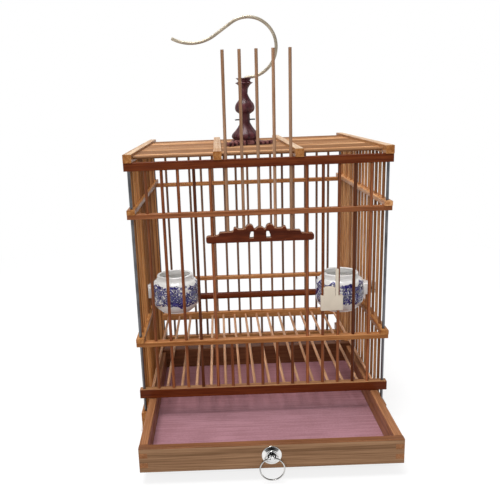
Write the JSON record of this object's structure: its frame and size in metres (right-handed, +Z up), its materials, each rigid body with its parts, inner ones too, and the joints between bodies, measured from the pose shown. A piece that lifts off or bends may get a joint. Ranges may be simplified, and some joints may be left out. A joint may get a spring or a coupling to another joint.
{
  "type": "bird cage",
  "caption": "Square bamboo bird cage with a rising barred door, a pull-out drawer, porcelain feed cups, a perch and a turned finial with a hanging hook.",
  "frame": {"origin": "centre of the base's underside, at the middle rail", "axes": "+X to the right seen from the door side, +Y away from the viewer, +Z up"},
  "size_m": [0.2716, 0.379, 0.4348],
  "materials": {
    "bamboo_rail": "varnished",
    "bamboo_bar": "varnished",
    "dark_bamboo": "gloss varnished",
    "drawer_wood": "varnished",
    "liner": "matt",
    "bright_metal": "plated",
    "steel": "drawn",
    "porcelain": "opaque white glaze with a blue band",
    "cream_plastic": "moulded",
    "rosewood": "polished",
    "brass": "antique"
  },
  "bodies": {
    "cage": {"top_front_rail": "dark_bamboo", "top_back_rail": "bamboo_rail", "top_left_rail": "bamboo_rail", "top_right_rail": "bamboo_rail", "upper_hoop_front_rail": "bamboo_rail", "upper_hoop_back_rail": "bamboo_rail", "upper_hoop_left_rail": "bamboo_rail", "upper_hoop_right_rail": "bamboo_rail", "lower_hoop_front_rail": "bamboo_rail", "lower_hoop_back_rail": "bamboo_rail", "lower_hoop_left_rail": "bamboo_rail", "lower_hoop_right_rail": "bamboo_rail", "base_front_rail": "bamboo_rail", "base_back_rail": "bamboo_rail", "base_left_rail": "bamboo_rail", "base_right_rail": "bamboo_rail", "base_middle_rail": "bamboo_rail", "floor_back_rail": "bamboo_rail", "roof_left_cross_bar": "bamboo_rail", "roof_right_cross_bar": "bamboo_rail", "floor_front_rail": "dark_bamboo", "perch": "dark_bamboo", "roof_bars": "bamboo_bar", "front_bars": "bamboo_bar", "front_sill_bars": "bamboo_bar", "back_bars": "bamboo_bar", "left_bars": "bamboo_bar", "right_bars": "bamboo_bar", "floor_rods": "bamboo_bar", "corner_tie_rods": "steel", "hook_pin": "steel", "finial_washer": "steel", "finial_screw": "steel", "left_cup_pin": "steel", "right_cup_pin": "steel", "left_cup": "porcelain", "right_cup": "porcelain", "treat_clip": "cream_plastic", "finial": "rosewood", "finial_claw": "rosewood"},
    "door": {"door_bars": "bamboo_bar", "door_crosspiece": "dark_bamboo"},
    "drawer": {"drawer_front": "drawer_wood", "drawer_back": "drawer_wood", "drawer_left_side": "drawer_wood", "drawer_right_side": "drawer_wood", "drawer_bottom": "drawer_wood", "drawer_liner": "liner", "pull_rosette": "bright_metal", "pull_eye": "bright_metal"},
    "ring": {"pull_ring": "bright_metal"},
    "hook": {"hook": "brass"}
  },
  "joints": [
    {"name": "door_slide", "type": "slide", "parent": "cage", "child": "door", "axis": [0, 0, 1], "range_m": [-0.1033, 0.009]},
    {"name": "drawer_slide", "type": "slide", "parent": "cage", "child": "drawer", "axis": [0, 1, 0], "range_m": [-0.1236, 0.1044]},
    {"name": "ring_swing", "type": "hinge", "parent": "drawer", "child": "ring", "pos_m": [0, -0.242, 0.0259], "axis": [-1, 0, 0], "range_deg": [-8, 100]},
    {"name": "hook_swivel", "type": "hinge", "parent": "cage", "child": "hook", "pos_m": [-0.0065, 0, 0.33], "axis": [0, 0, 1], "continuous": true}
  ]
}
